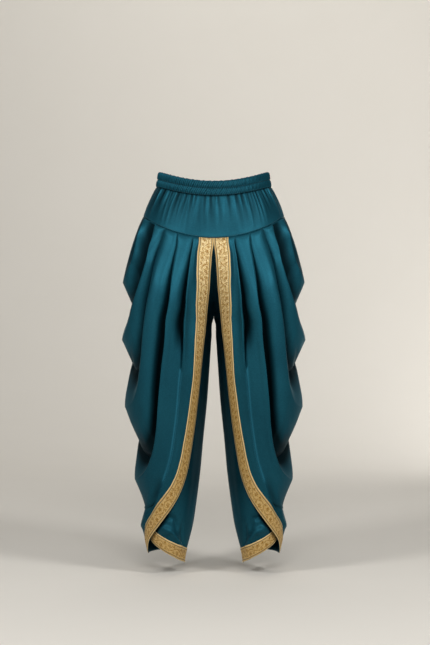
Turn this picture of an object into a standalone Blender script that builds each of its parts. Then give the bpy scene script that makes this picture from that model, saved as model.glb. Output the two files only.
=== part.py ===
"""Pleated wrap trousers, filled out as they are worn, from their cut and sewn pieces.

Metres, +Z up, the front towards -Y and the wearer's left towards +X. The origin is the middle
of the waistband's ring, at half its height at the sides. Each leg is an upright form with an
oval section at every height. A place on it is an angle and a height: 0 degrees is its front,
90 its outer side, 180 its back and 270 (or -90) its inseam. Every cloth piece is a sheet laid
out on that form, lifted off it by its folds, and given its thickness inwards.
"""
from collections import namedtuple

import bpy
import numpy as np

# Driving sizes
CLOTH = 0.0015
BORDER_CLOTH = 0.0010
BAND_CLOTH = 0.0020
SEAM_GAP = 0.0003
INSEAM_GAP = 0.0004
BORDER_GAP = 0.0004
BORDER_WIDTH = 0.036

WAIST_HALF_WIDTH = 0.1395
WAIST_FRONT = 0.099
WAIST_BACK = 0.103
BAND_TOP = 0.0187
BAND_HEIGHT = 0.0374
BAND_PUFF = 0.0022
BAND_TAPER = 0.006
BAND_GATHERS = 84
GATHER_DEPTH = 0.0007
FRONT_DIP = 0.030
BACK_DIP = 0.014

YOKE_SIDE = -0.094
YOKE_FRONT_DROP = 0.062
YOKE_BACK_DROP = 0.050
YOKE_GATHERS = 18
YOKE_GATHER_DEPTH = 0.0022
YOKE_ROWS = (0.0, 0.2, 0.55, 1.0)
YOKE_FULLNESS = 1.35
YOKE_TURN = 74

CROTCH = -0.353
CORNER = -0.955
INSEAM_END = -0.979

# The leg's form: an oval at each height, with its own depth in front and behind
Section = namedtuple("Section", "height centre half_width front back")
SECTIONS = (
    Section(-0.080, 0.0000, 0.1740, 0.119, 0.126),
    Section(-0.094, 0.0000, 0.1800, 0.122, 0.130),
    Section(-0.156, 0.0000, 0.1960, 0.130, 0.138),
    Section(-0.205, 0.0300, 0.1730, 0.136, 0.144),
    Section(-0.260, 0.0620, 0.1460, 0.141, 0.149),
    Section(-0.310, 0.0870, 0.1230, 0.143, 0.151),
    Section(CROTCH, 0.1035, 0.1035, 0.143, 0.150),
    Section(-0.404, 0.1075, 0.1020, 0.140, 0.146),
    Section(-0.461, 0.1090, 0.0995, 0.135, 0.140),
    Section(-0.568, 0.1090, 0.0920, 0.123, 0.127),
    Section(-0.656, 0.1090, 0.0830, 0.111, 0.113),
    Section(-0.753, 0.1085, 0.0735, 0.097, 0.098),
    Section(-0.830, 0.1090, 0.0640, 0.086, 0.087),
    Section(-0.879, 0.1115, 0.0590, 0.079, 0.080),
    Section(-0.922, 0.1160, 0.0530, 0.071, 0.073),
    Section(-0.956, 0.1170, 0.0450, 0.064, 0.066),
    Section(-0.985, 0.1170, 0.0410, 0.060, 0.062),
)

# The folds, outermost first. Each fold edge runs from the yoke seam down to its lowest point at
# the outer side, and up again behind as its mirror image. start is its angle at the seam, path
# its way down as angles and heights, front and side how far it stands off the form there, notch
# the share of the way to the next tip at which the outer side is cut in, and corner the place
# along the fold, 0 at the seam and 0.5 at the side, where the pleat comes free of the next one.
Fold = namedtuple("Fold", "start path tip front side notch corner")
FOLDS = (
    Fold(65, ((66, -0.141), (68, -0.172), (69, -0.213), (76, -0.246)), -0.262, 0.015, 0.0245, 0.34, 0.315),
    Fold(48, ((47, -0.167), (45, -0.197), (46, -0.224), (48, -0.267), (53, -0.316), (61, -0.359),
              (74, -0.395)), -0.409, 0.020, 0.0250, 0.31, 0.338),
    Fold(38, ((39, -0.167), (38, -0.206), (34, -0.287), (35, -0.381), (39, -0.470), (46, -0.526),
              (56, -0.559), (72, -0.574)), -0.578, 0.022, 0.0275, 0.43, 0.398),
    Fold(26, ((16, -0.241), (5, -0.334), (5, -0.408), (9, -0.477), (15, -0.572), (18, -0.620),
              (28, -0.696), (40, -0.732), (60, -0.755)), -0.763, 0.022, 0.0215, 0.56, 0.410),
    Fold(14, ((6, -0.211), (-12, -0.310), (-21, -0.408), (-16, -0.532), (-11, -0.622),
              (3, -0.730), (28, -0.812), (58, -0.862)), -0.886, 0.017, 0.0170, 0.50, 0.410),
)
COWL_START = 72
# A pleat is flat at the yoke seam, has its first step over PLEAT_QUICK of the way to the outer
# side and its whole front height over SEAM_RISE. Its height at the side fades over SIDE_FADE.
SEAM_LIFT = 0.0015
PLEAT_START = 0.0055
PLEAT_QUICK = 0.05
SEAM_RISE = 0.26
SIDE_FADE = 0.62
SEATED_SHARE = 0.12

# The drape's own edge: down the inner front, then out across the shin to the corner of the hem.
# lift is how far it stands off the form, and inside is the same at the border's other edge.
Edge = namedtuple("Edge", "angle height lift inside")
EDGE_START = 0.05
EDGES = (
    Edge(-4.0, -0.176, 0.0030, 0.0060),
    Edge(-7.4, -0.196, 0.0050, 0.0100),
    Edge(-10.7, -0.214, 0.0060, 0.0120),
    Edge(-14.2, -0.232, 0.0069, 0.0140),
    Edge(-18.1, -0.250, 0.0078, 0.0150),
    Edge(-22.4, -0.269, 0.0086, 0.0160),
    Edge(-27.0, -0.287, 0.0095, 0.0160),
    Edge(-31.7, -0.305, 0.0110, 0.0160),
    Edge(-36.9, -0.323, 0.0128, 0.0155),
    Edge(-42.6, -0.341, 0.0149, 0.0150),
    Edge(-46.7, -0.360, 0.0165, 0.0150),
    Edge(-47.3, -0.378, 0.0159, 0.0150),
    Edge(-46.6, -0.404, 0.0138, 0.0155),
    Edge(-46.6, -0.430, 0.0119, 0.0160),
    Edge(-46.3, -0.467, 0.0098, 0.0165),
    Edge(-45.8, -0.504, 0.0081, 0.0170),
    Edge(-44.1, -0.560, 0.0067, 0.0161),
    Edge(-41.9, -0.623, 0.0055, 0.0150),
    Edge(-38.4, -0.680, 0.0045, 0.0145),
    Edge(-32.5, -0.735, 0.0037, 0.0140),
    Edge(-26.5, -0.767, 0.0033, 0.0140),
    Edge(-16.7, -0.799, 0.0032, 0.0140),
    Edge(-2.5, -0.830, 0.0033, 0.0130),
    Edge(14.4, -0.859, 0.0035, 0.0110),
    Edge(33.0, -0.887, 0.0040, 0.0100),
    Edge(54.0, -0.915, 0.0045, 0.0090),
    Edge(72.0, -0.942, 0.0050, 0.0070),
)
CORNER_LIFT = 0.005
BACK_HEM_SHARE = 0.63
INSEAM_SHARE = 0.85
BACK_SEAM_BEND = 0.55

# Rows of the drape from one fold edge to the next, in front and at the outer side. A falling row
# is placed as a share of the way to where the cloth turns, just under the next fold's edge in
# front and at the notch of a cowl at the side. The turning row is placed as a share of the way
# from there to the next edge, and its rise is a share of that edge's height.
Row = namedtuple("Row", "front_place front_rise side_place side_rise")
FALLING_ROWS = (
    Row(0.00, 1.00, 0.00, 1.00),
    Row(0.40, 0.86, 0.42, 0.60),
    Row(0.76, 0.46, 0.78, 0.26),
    Row(0.95, 0.04, 1.00, 0.05),
)
TURNING_ROW = Row(0.50, 0.14, 0.45, 0.50)
FLAP_LIFT = 0.22
TOP_ROWS = (
    Row(0.00, 0.00, 0.00, 0.00),
    Row(0.45, 0.10, 0.40, 0.40),
    Row(0.92, 0.08, 0.78, 0.78),
)
HEM_ROWS = (0.0, 0.35, 0.80)
HEM_SAG = 0.35
STRIP_LIMIT = 0.88
STRIP_TRIES = 12
TURN_LENGTH = 0.0020
DRAPE_SPANS = ((0.0, 0.5, 20), (0.5, BACK_HEM_SHARE, 5), (BACK_HEM_SHARE, INSEAM_SHARE, 8),
               (INSEAM_SHARE, 1.0, 8))

# The front panel, inside the drape, from the inseam and centre seam to under the drape's edge
PANEL_INSET = 0.0060
PANEL_TOP_INSET = 0.0032
PANEL_OVERLAP = 34
PANEL_LIMIT = 74
PANEL_COLUMNS = 8
PANEL_ROWS = 14
PANEL_CROWDING = 1.25
PANEL_EASE = 0.35
PANEL_TRIES = 8
PANEL_HEM = ((-90, -0.979), (-45, -0.966), (0, -0.948), (55, -0.922), (80, -0.912))

SATIN = (0.012, 0.115, 0.160, 1.0)
BROCADE = (0.58, 0.36, 0.10, 1.0)


def curve_through(knots, values, at):
    """Smooth curve through the values at rising knots, read at the given places."""
    knots = np.asarray(knots, float)
    values = np.asarray(values, float)
    slopes = np.gradient(values, knots, axis=0)
    index = np.clip(np.searchsorted(knots, at, side="right") - 1, 0, len(knots) - 2)
    width = knots[index + 1] - knots[index]
    share = (at - knots[index]) / width
    if values.ndim > 1:
        width = width[..., None]
        share = share[..., None]
    bend = share * share * (3 - 2 * share)
    return ((1 - bend) * values[index] + bend * values[index + 1]
            + width * share * (1 - share) ** 2 * slopes[index]
            - width * share ** 2 * (1 - share) * slopes[index + 1])


def ease(value):
    """Smooth step from 0 to 1."""
    value = np.clip(value, 0.0, 1.0)
    return value * value * (3 - 2 * value)


def form_sizes(height):
    """Centre, half width, front depth and back depth of the leg's oval at each height."""
    table = np.array(SECTIONS)
    sizes = curve_through(-table[:, 0], table[:, 1:], -np.asarray(height, float))
    return np.moveaxis(sizes, -1, 0)


def on_form(angle, height, lift):
    """Points at angles in degrees and heights, lifted off the form by the lift."""
    centre, half_width, front, back = form_sizes(height)
    turn = np.radians(angle)
    depth = np.where(np.cos(turn) > 0, front, back)
    x = np.maximum(centre + (half_width + lift) * np.sin(turn), SEAM_GAP / 2)
    y = -(depth + lift) * np.cos(turn)
    return np.stack((x, y, height + 0 * x), axis=-1)


def inner_turn(height, inset=0.0):
    """How far past the front or the back, in degrees, the leg meets its inseam or centre seam."""
    centre, half_width, front, _ = form_sizes(height)
    reach = np.clip((centre - SEAM_GAP / 2) / (half_width - inset), 0.0, 1.0)
    return np.minimum(np.degrees(np.arcsin(reach)), 90 - np.degrees(INSEAM_GAP / front))


def yoke_seam(angle):
    """Height of the seam under the yoke, which dips in front and behind."""
    turn = np.radians(angle)
    drop = np.where(np.cos(turn) > 0, YOKE_FRONT_DROP, YOKE_BACK_DROP)
    return YOKE_SIDE - drop * np.cos(turn) ** 2


def dipped(angle):
    """How far the waistband dips below its height at the sides."""
    turn = np.radians(angle)
    return np.where(np.cos(turn) > 0, FRONT_DIP, BACK_DIP) * np.cos(turn) ** 2


def fold_path(fold, share):
    """Angle and height along a fold's edge, from the front seam at 0 to the back seam at 1."""
    start = (fold.start, float(yoke_seam(fold.start)))
    end = (180 - fold.start, float(yoke_seam(180 - fold.start)))
    behind = tuple((180 - angle, height) for angle, height in reversed(fold.path))
    points = np.array((start,) + fold.path + ((90, fold.tip),) + behind + (end,))
    return read_path(points, len(fold.path) + 1, share)


def read_path(points, middle, share):
    """Read a path of angles and heights so that its middle point comes at a share of a half."""
    steps = np.hypot(np.diff(points[:, 0]) * TURN_LENGTH, np.diff(points[:, 1]))
    along = np.concatenate(((0.0,), np.cumsum(steps)))
    half = along[middle]
    knots = np.where(along <= half, 0.5 * along / half,
                     0.5 + 0.5 * (along - half) / (along[-1] - half))
    return curve_through(knots, points, share)


def edge_front():
    """Angle, height and both lifts of the drape's front edge, from the yoke seam to the corner."""
    start = (EDGE_START, float(yoke_seam(EDGE_START)), SEAM_LIFT, SEAM_LIFT)
    return np.array((start,) + EDGES + ((90, CORNER, CORNER_LIFT, CORNER_LIFT + 0.001),))


def edge_path(share):
    """The drape's own boundary: front edge, back hem, inseam and centre back seam."""
    front = edge_front()
    beyond = front[-1] + (20, 0, 0, 0)
    front = np.vstack((front, beyond))
    steps = np.hypot(np.diff(front[:, 0]) * TURN_LENGTH, np.diff(front[:, 1]))
    along = np.concatenate(((0.0,), np.cumsum(steps)))
    path = curve_through(0.5 * along / along[-2], front, np.minimum(share, 0.5))

    hem = np.clip((share - 0.5) / (BACK_HEM_SHARE - 0.5), 0, 1)
    rise = np.clip((share - BACK_HEM_SHARE) / (INSEAM_SHARE - BACK_HEM_SHARE), 0, 1)
    back = np.clip((share - INSEAM_SHARE) / (1 - INSEAM_SHARE), 0, 1)
    height = CORNER + (INSEAM_END - CORNER) * ease(hem * 1.5 - 0.5)
    height = height + (CROTCH - INSEAM_END) * rise
    height = height + (yoke_seam(180.0) - CROTCH) * (BACK_SEAM_BEND * back ** 2
                                                  + (1 - BACK_SEAM_BEND) * back ** 1.5)
    inner = 180 + inner_turn(height)
    angle = np.where(share < BACK_HEM_SHARE, 90 + (inner - 90) * hem, inner)
    lift = CORNER_LIFT * ease(1 - hem)
    behind = np.stack((angle, height, lift, lift), axis=-1)
    return np.where((share > 0.5)[:, None], behind, path)


def fold_lift(fold, share):
    """Height of a fold's edge off the form: flat at the yoke seam, highest at the outer side."""
    from_side = np.abs(share - 0.5) * 2
    lift = fold.front + (fold.side - fold.front) * ease(1 - from_side / SIDE_FADE)
    start = SEAM_LIFT + PLEAT_START * ease((1 - from_side) / PLEAT_QUICK)
    return start + (lift - start) * ease((1 - from_side) / SEAM_RISE)


def drape_shares():
    """Places of the drape's columns along its folds."""
    spans = [np.linspace(start, end, count, endpoint=False) for start, end, count in DRAPE_SPANS]
    return np.concatenate(spans + [(1.0,)])


def drape_points():
    """Rows of points of one drape, its own edge last."""
    share = drape_shares()
    paths = [fold_path(fold, share) for fold in FOLDS]
    lifts = [fold_lift(fold, share) for fold in FOLDS]
    top_angle = COWL_START + (180 - 2 * COWL_START) * share
    top = np.stack((top_angle, yoke_seam(top_angle)), axis=-1)
    side = ease((0.5 - np.abs(share - 0.5)) * 2.5)
    rows = []
    for row in TOP_ROWS:
        place, rise = blended(row, side, side)
        lift = SEAM_LIFT * (0.3 + 0.7 * place) + rise * (lifts[0] - SEAM_LIFT)
        rows.append((top + (paths[0] - top) * place[:, None], lift))
    for number in range(len(FOLDS) - 1):
        rows += pleat_rows(paths[number:number + 2], lifts[number:number + 2], FOLDS[number], share)
    rows += edge_rows(share, paths[-1], lifts[-1], edge_path(share))
    points = [seated(path, lift, share) for path, lift in rows]
    return np.array(points)


def blended(row, place_blend, rise_blend):
    """Place and rise of a row, between its front and its side."""
    place = row.front_place + (row.side_place - row.front_place) * place_blend
    rise = row.front_rise + (row.side_rise - row.front_rise) * rise_blend
    return place, rise


def pleat_rows(paths, lifts, fold, share):
    """Rows of angles, heights and lifts from one fold's edge to the next."""
    out = np.clip((0.5 - np.abs(share - 0.5) - fold.corner) / (0.5 - fold.corner), 0, 1)
    turn = 1 + (fold.notch - 1) * out
    hang = FLAP_LIFT * ease(out / 0.25) * (1 - out)
    step = paths[1] - paths[0]
    rows = []
    for row in FALLING_ROWS:
        place, rise = blended(row, out, out)
        bottom = place * turn
        rows.append((paths[0] + step * bottom[:, None], (rise + hang * row.front_place ** 2) * lifts[0]))
    place, rise = blended(TURNING_ROW, out, out ** 2)
    place = bottom + (1 - bottom) * place
    rows.append((paths[0] + step * place[:, None], rise * lifts[1]))
    return rows


def edge_rows(share, path, lift, edge):
    """The last rows: from the last fold to the strip under the border, and the drape's edge."""
    outline = edge[:, :2]
    edge_lift, inside_lift = edge[:, 2], edge[:, 3]
    last = on_form(outline[:, 0], outline[:, 1], edge_lift)
    along = np.gradient(last, share, axis=0)
    along /= np.linalg.norm(along, axis=1)[:, None]
    strip = 0.5 + 0 * share
    for _ in range(STRIP_TRIES):
        reach = outline - (outline - path) * strip[:, None]
        across = last - on_form(reach[:, 0], reach[:, 1], inside_lift)
        width = np.linalg.norm(np.cross(across, along), axis=1)
        strip = np.clip(strip * BORDER_WIDTH / width, 0.02, STRIP_LIMIT)
    rows = []
    for place in HEM_ROWS:
        reach = place * (1 - strip)
        sag = np.sin(np.pi * place) * HEM_SAG
        rows.append((path + (outline - path) * reach[:, None],
                     (lift + (inside_lift - lift) * place) * (1 - sag)))
    for place in (1.0, 0.5, 0.0):
        rows.append((outline - (outline - path) * (strip * place)[:, None],
                     edge_lift + (inside_lift - edge_lift) * place))
    return rows


def seated(path, lift, share):
    """One row of points, with its two ends brought to the yoke seam."""
    start = yoke_seam(path[0, 0]) - path[0, 1]
    end = yoke_seam(path[-1, 0]) - path[-1, 1]
    height = path[:, 1] + start * ease(1 - share / SEATED_SHARE)
    height = height + end * ease(1 - (1 - share) / SEATED_SHARE)
    return on_form(path[:, 0], height - SEAM_GAP, lift)


def edge_angle(height):
    """Angle of the drape's front edge at each height."""
    path = edge_front()
    return np.interp(-height, -path[:, 1], path[:, 0])


def panel_points():
    """Rows of points of one front panel, from the yoke seam down to its hem."""
    hem = np.array(PANEL_HEM)
    across = np.linspace(0, 1, PANEL_COLUMNS + 1) ** PANEL_CROWDING
    even = np.linspace(0, 1, PANEL_ROWS + 1)
    drops = even + (ease(even) - even) * PANEL_EASE
    rows = []
    for number in range(PANEL_ROWS + 3):
        angle = -45 + 0 * across
        inset = PANEL_TOP_INSET + (PANEL_INSET - PANEL_TOP_INSET) * ease(number / 3)
        for _ in range(PANEL_TRIES):
            bottom = np.interp(angle, hem[:, 0], hem[:, 1])
            top = yoke_seam(angle) - 2 * SEAM_GAP
            drop = drops[min(number, PANEL_ROWS)]
            height = top + (bottom + BORDER_WIDTH - top) * drop
            height = height - BORDER_WIDTH / 2 * max(0, number - PANEL_ROWS)
            at_centre = ease((height - CROTCH) / 0.03)
            inner = -inner_turn(height, inset * at_centre)
            outer = np.minimum(edge_angle(height) + PANEL_OVERLAP, PANEL_LIMIT)
            angle = inner + (outer - inner) * across
        inset = inset * np.maximum(ease(across / 0.3), at_centre)
        rows.append(on_form(angle, height, -inset))
    return np.array(rows)


def yoke_points(front):
    """Rows of points of the front or back yoke, from one side seam to the other."""
    reach = YOKE_TURN if front else 180 - YOKE_TURN
    columns = 2 * round(YOKE_GATHERS * reach / 90)
    turn = np.linspace(-reach, reach, columns + 1)
    turn[[0, -1]] += np.degrees(SEAM_GAP / WAIST_FRONT) * np.array((1, -1))
    angle = np.abs(turn) if front else 180 - np.abs(turn)
    side = np.sign(turn)[:, None] * (1, 0, 0) + (0, 1, 1)
    gather = np.where(np.arange(columns + 1) % 2, 1.0, -1.0) * YOKE_GATHER_DEPTH / 2
    top = waist_points(angle, BAND_HEIGHT + SEAM_GAP, 0.0)
    height = yoke_seam(angle) + SEAM_GAP
    bottom = on_form(angle, height, 0.0)
    bottom[np.abs(turn) < 1, 0] = 0.0
    outward = np.stack((np.sin(np.radians(angle)), -np.cos(np.radians(angle)), 0 * angle), axis=-1)
    rows = []
    for place in YOKE_ROWS:
        swell = 1 - (1 - place) ** YOKE_FULLNESS
        flat = top + (bottom - top) * swell
        flat[:, 2] = top[:, 2] + (bottom[:, 2] - top[:, 2]) * place
        fade = (1 - place) * ease(place / 0.2 + 0.35)
        rows.append((flat + outward * (gather * fade)[:, None]) * side)
    return np.array(rows)


def waist_points(angle, drop, lift):
    """Points round the waist, at a drop below the waistband's top and a lift off its form."""
    turn = np.radians(angle)
    depth = np.where(np.cos(turn) > 0, WAIST_FRONT, WAIST_BACK)
    wider = lift + BAND_TAPER * drop / BAND_HEIGHT
    x = (WAIST_HALF_WIDTH + wider) * np.sin(turn)
    y = -(depth + wider) * np.cos(turn)
    return np.stack((x, y, BAND_TOP - dipped(angle) - drop + 0 * x), axis=-1)


def band_rings():
    """Rings of the waistband: two gathered channels outside, and a plain inside."""
    count = 2 * BAND_GATHERS
    angle = np.arange(count) * 360 / count
    gather = np.where(np.arange(count) % 2, GATHER_DEPTH, -GATHER_DEPTH)
    outline = ((0.00, 0.0), (0.25, 1.0), (0.50, 0.0), (0.75, 1.0), (1.00, 0.0))
    rings = [waist_points(angle, share * BAND_HEIGHT, puff * (BAND_PUFF + gather))
             for share, puff in outline]
    rings += [waist_points(angle, share * BAND_HEIGHT, -BAND_CLOTH) for share in (1.0, 0.0)]
    return np.array(rings)


def grid_faces(rows, columns, closed_rows, closed_columns, flipped):
    """Triangles of a grid of points, all with the same diagonal."""
    faces = []
    for row in range(rows if closed_rows else rows - 1):
        for column in range(columns if closed_columns else columns - 1):
            down = (row + 1) % rows
            right = (column + 1) % columns
            corners = [row * columns + column, down * columns + column,
                       down * columns + right, row * columns + right]
            if flipped:
                corners = [corners[0], corners[3], corners[2], corners[1]]
            faces.append((corners[0], corners[1], corners[2]))
            faces.append((corners[0], corners[2], corners[3]))
    return faces


def make_material(name, colour, roughness, metallic):
    """A plain finish."""
    material = bpy.data.materials.new(name)
    material.use_nodes = True
    shader = material.node_tree.nodes["Principled BSDF"]
    shader.inputs["Base Color"].default_value = colour
    shader.inputs["Roughness"].default_value = roughness
    shader.inputs["Metallic"].default_value = metallic
    material.diffuse_color = colour
    return material


def make_piece(name, grid, flipped, wall, offset, finish, ring=False):
    """A named piece from a grid of points, with its cloth's thickness if it is a sheet."""
    rows, columns = grid.shape[:2]
    faces = grid_faces(rows, columns, ring, ring, flipped)
    mesh = bpy.data.meshes.new(name)
    mesh.from_pydata(grid.reshape(-1, 3).tolist(), [], faces)
    mesh.shade_smooth()
    piece = bpy.data.objects.new(name, mesh)
    trousers.objects.link(piece)
    mesh.materials.append(make_material(name, *finish))
    if wall:
        thickness = piece.modifiers.new("cloth", "SOLIDIFY")
        thickness.thickness = wall
        thickness.offset = offset
        thickness.use_even_offset = False
    return piece


def mirrored(grid):
    """The same piece on the wearer's right."""
    return grid * (-1, 1, 1)


def lifted(grid, gap, flipped):
    """The grid's points moved out from the cloth by a gap."""
    down = np.gradient(grid, axis=0)
    right = np.gradient(grid, axis=1)
    outward = np.cross(down, right)
    outward /= np.linalg.norm(outward, axis=2)[:, :, None]
    return grid + outward * (gap if not flipped else -gap)


def make_leg(side, sign):
    """The drape, front panel and borders of one leg."""
    satin = (SATIN, 0.35, 0.0)
    gold = (BROCADE, 0.40, 0.6)
    drape = drape_points()
    panel = panel_points()
    share = drape_shares()
    corner = int(np.argmin(np.abs(share - 0.5)))
    inseam = int(np.argmin(np.abs(share - BACK_HEM_SHARE)))
    strip = lifted(drape, BORDER_GAP, False)[-3:]
    front = strip[:, :corner + 1]
    back = strip[:, corner:inseam + 1].copy()
    hem = lifted(panel, BORDER_GAP, False)[-3:]
    front = trimmed(front)
    hand = (lambda grid: grid) if sign > 0 else mirrored
    flipped = sign < 0
    make_piece("drape_" + side, hand(drape), flipped, CLOTH, -1, satin)
    make_piece("front_panel_" + side, hand(panel), flipped, CLOTH, -1, satin)
    make_piece("border_front_" + side, hand(front), flipped, BORDER_CLOTH, 1, gold)
    make_piece("border_back_" + side, hand(back), flipped, BORDER_CLOTH, 1, gold)
    make_piece("border_hem_" + side, hand(hem), flipped, BORDER_CLOTH, 1, gold)


def trimmed(strip):
    """A strip cut back at its end by a seam's gap, where the next one starts."""
    strip = strip.copy()
    step = strip[:, -2] - strip[:, -1]
    strip[:, -1] += step / np.linalg.norm(step, axis=1)[:, None] * SEAM_GAP
    return strip


def make_waist():
    """The waistband and the two yokes."""
    satin = (SATIN, 0.35, 0.0)
    make_piece("waistband", band_rings(), False, 0, 0, satin, ring=True)
    make_piece("yoke_front", yoke_points(True), False, CLOTH, -1, satin)
    make_piece("yoke_back", yoke_points(False), True, CLOTH, -1, satin)


for thing in list(bpy.data.objects):
    bpy.data.objects.remove(thing, do_unlink=True)
trousers = bpy.data.collections.new("pleated_wrap_trousers")
bpy.context.scene.collection.children.link(trousers)
make_waist()
for side_name, side_sign in (("left", 1), ("right", -1)):
    make_leg(side_name, side_sign)
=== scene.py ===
# %% [markdown]
# # Pleated wrap trousers
#
# The real object is a pair of draped trousers. Each leg is one big panel of satin. Its straight
# top is folded into knife pleats under the front of a hip yoke, the cloth then hangs round the
# outside of the leg in cowls, and it goes up again into the back of the yoke. A brocade strip
# edges it. The waist is a casing with two rows of elastic.
#
# The solids of the frame already have the cut, the pleats and the folds. This lesson lays the
# same sheets again on a much finer grid, adds the creases and gathers of worn and sewn cloth, and
# gives them their satin, their brocade and their thread.

# %% Frame
from collections import namedtuple

import bpy
import numpy as np
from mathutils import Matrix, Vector


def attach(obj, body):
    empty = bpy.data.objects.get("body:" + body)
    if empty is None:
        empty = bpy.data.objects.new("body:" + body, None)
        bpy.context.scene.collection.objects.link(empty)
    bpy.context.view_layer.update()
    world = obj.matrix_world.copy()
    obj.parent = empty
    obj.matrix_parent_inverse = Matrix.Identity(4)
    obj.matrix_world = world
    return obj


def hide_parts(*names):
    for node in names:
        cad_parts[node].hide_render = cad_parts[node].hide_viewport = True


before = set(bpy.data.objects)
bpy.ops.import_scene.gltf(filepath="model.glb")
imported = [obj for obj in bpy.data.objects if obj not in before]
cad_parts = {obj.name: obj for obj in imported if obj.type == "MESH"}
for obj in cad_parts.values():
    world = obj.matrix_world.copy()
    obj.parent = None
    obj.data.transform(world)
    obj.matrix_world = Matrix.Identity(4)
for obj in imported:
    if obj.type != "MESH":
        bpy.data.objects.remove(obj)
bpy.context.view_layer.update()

# %% [markdown]
# ## The form under the cloth
#
# Cloth that is worn lies on a body. Here each leg is an upright form with an oval section at each
# height, and a place on it is an angle and a height: 0 degrees is the front, 90 the outer side,
# 180 the back and -90 the inseam. A fold is then a line of angles and heights, and it is easy to
# mirror at the back and on the other leg. Drawing curves in space by eye would be the other way,
# but the two legs and the border strips would never fit each other.

# %% Sizes of the form
SEAM_GAP = 0.0003
INSEAM_GAP = 0.0002
CENTRE_GAP = 0.0
YOKE_SIDE = -0.094
YOKE_FRONT_DROP = 0.062
YOKE_BACK_DROP = 0.050
CROTCH = -0.353
CORNER = -0.955
INSEAM_END = -0.979

Section = namedtuple("Section", "height centre half_width front back")
SECTIONS = (
    Section(-0.080, 0.0000, 0.1740, 0.119, 0.126),
    Section(-0.094, 0.0000, 0.1800, 0.122, 0.130),
    Section(-0.156, 0.0000, 0.1960, 0.130, 0.138),
    Section(-0.205, 0.0300, 0.1730, 0.136, 0.144),
    Section(-0.260, 0.0620, 0.1460, 0.141, 0.149),
    Section(-0.310, 0.0870, 0.1230, 0.143, 0.151),
    Section(CROTCH, 0.1035, 0.1035, 0.143, 0.150),
    Section(-0.404, 0.1075, 0.1020, 0.140, 0.146),
    Section(-0.461, 0.1090, 0.0995, 0.135, 0.140),
    Section(-0.568, 0.1090, 0.0920, 0.123, 0.127),
    Section(-0.656, 0.1090, 0.0830, 0.111, 0.113),
    Section(-0.753, 0.1085, 0.0735, 0.097, 0.098),
    Section(-0.830, 0.1090, 0.0640, 0.086, 0.087),
    Section(-0.879, 0.1115, 0.0590, 0.079, 0.080),
    Section(-0.922, 0.1160, 0.0530, 0.071, 0.073),
    Section(-0.956, 0.1170, 0.0450, 0.064, 0.066),
    Section(-0.985, 0.1170, 0.0410, 0.060, 0.062),
)
print("form:", len(SECTIONS), "sections, from", SECTIONS[0].height, "to", SECTIONS[-1].height, "m")


# %% Places on the form
def curve_through(knots, values, at):
    """Smooth curve through the values at rising knots, read at the given places."""
    knots = np.asarray(knots, float)
    values = np.asarray(values, float)
    slopes = np.gradient(values, knots, axis=0)
    index = np.clip(np.searchsorted(knots, at, side="right") - 1, 0, len(knots) - 2)
    width = knots[index + 1] - knots[index]
    share = (at - knots[index]) / width
    if values.ndim > 1:
        width = width[..., None]
        share = share[..., None]
    bend = share * share * (3 - 2 * share)
    return ((1 - bend) * values[index] + bend * values[index + 1]
            + width * share * (1 - share) ** 2 * slopes[index]
            - width * share ** 2 * (1 - share) * slopes[index + 1])


def ease(value):
    """Smooth step from 0 to 1."""
    value = np.clip(value, 0.0, 1.0)
    return value * value * (3 - 2 * value)


def between(first, second, share):
    """The value at a share of the way from the first to the second."""
    return first + (second - first) * share


def form_sizes(height):
    """Centre, half width, front depth and back depth of the leg's oval at each height."""
    table = np.array(SECTIONS)
    sizes = curve_through(-table[:, 0], table[:, 1:], -np.asarray(height, float))
    return np.moveaxis(sizes, -1, 0)


def on_form(angle, height, lift):
    """Points at angles in degrees and heights, lifted off the form by the lift."""
    centre, half_width, front, back = form_sizes(height)
    turn = np.radians(angle)
    depth = np.where(np.cos(turn) > 0, front, back)
    x = np.maximum(centre + (half_width + lift) * np.sin(turn), CENTRE_GAP / 2)
    y = -(depth + lift) * np.cos(turn)
    return np.stack((x, y, height + 0 * x), axis=-1)


def inner_turn(height, inset=0.0):
    """How far past the front or the back, in degrees, the leg meets its inseam or centre seam."""
    centre, half_width, front, _ = form_sizes(height)
    reach = np.clip((centre - CENTRE_GAP / 2) / (half_width - inset), 0.0, 1.0)
    return np.minimum(np.degrees(np.arcsin(reach)), 90 - np.degrees(INSEAM_GAP / front))


def yoke_seam(angle):
    """Height of the seam under the yoke, which dips in front and behind."""
    turn = np.radians(angle)
    drop = np.where(np.cos(turn) > 0, YOKE_FRONT_DROP, YOKE_BACK_DROP)
    return YOKE_SIDE - drop * np.cos(turn) ** 2


print("leg at the crotch, outer side and back:",
      on_form(np.array((90.0, 180.0)), CROTCH, 0).round(3).tolist())

# %% [markdown]
# ## From a grid of points to cloth
#
# Every sheet below is a grid of points in rows. One function turns such a grid into a mesh, gives
# it a UV map that is measured in metres along the rows and down the columns, so that a weave has
# the same scale on every piece, and lets a Solidify modifier give it the cloth's thickness. The
# right leg is the left leg's mirror image, with its faces turned round so that they still point
# outwards. A second function writes each point's painted shade, which on the drapes comes from how
# deep the point lies between its folds, for the satin.

# %% Cloth from a grid
CLOTH = 0.0009
SIDES = (("left", 1), ("right", -1))


def lengths_along(grid, axis):
    """Distance run along each row (axis 1) or down each column (axis 0), from its first point."""
    steps = np.linalg.norm(np.diff(grid, axis=axis), axis=2)
    start = np.zeros((grid.shape[0], 1)) if axis == 1 else np.zeros((1, grid.shape[1]))
    return np.concatenate((start, np.cumsum(steps, axis=axis)), axis=axis)


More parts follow.
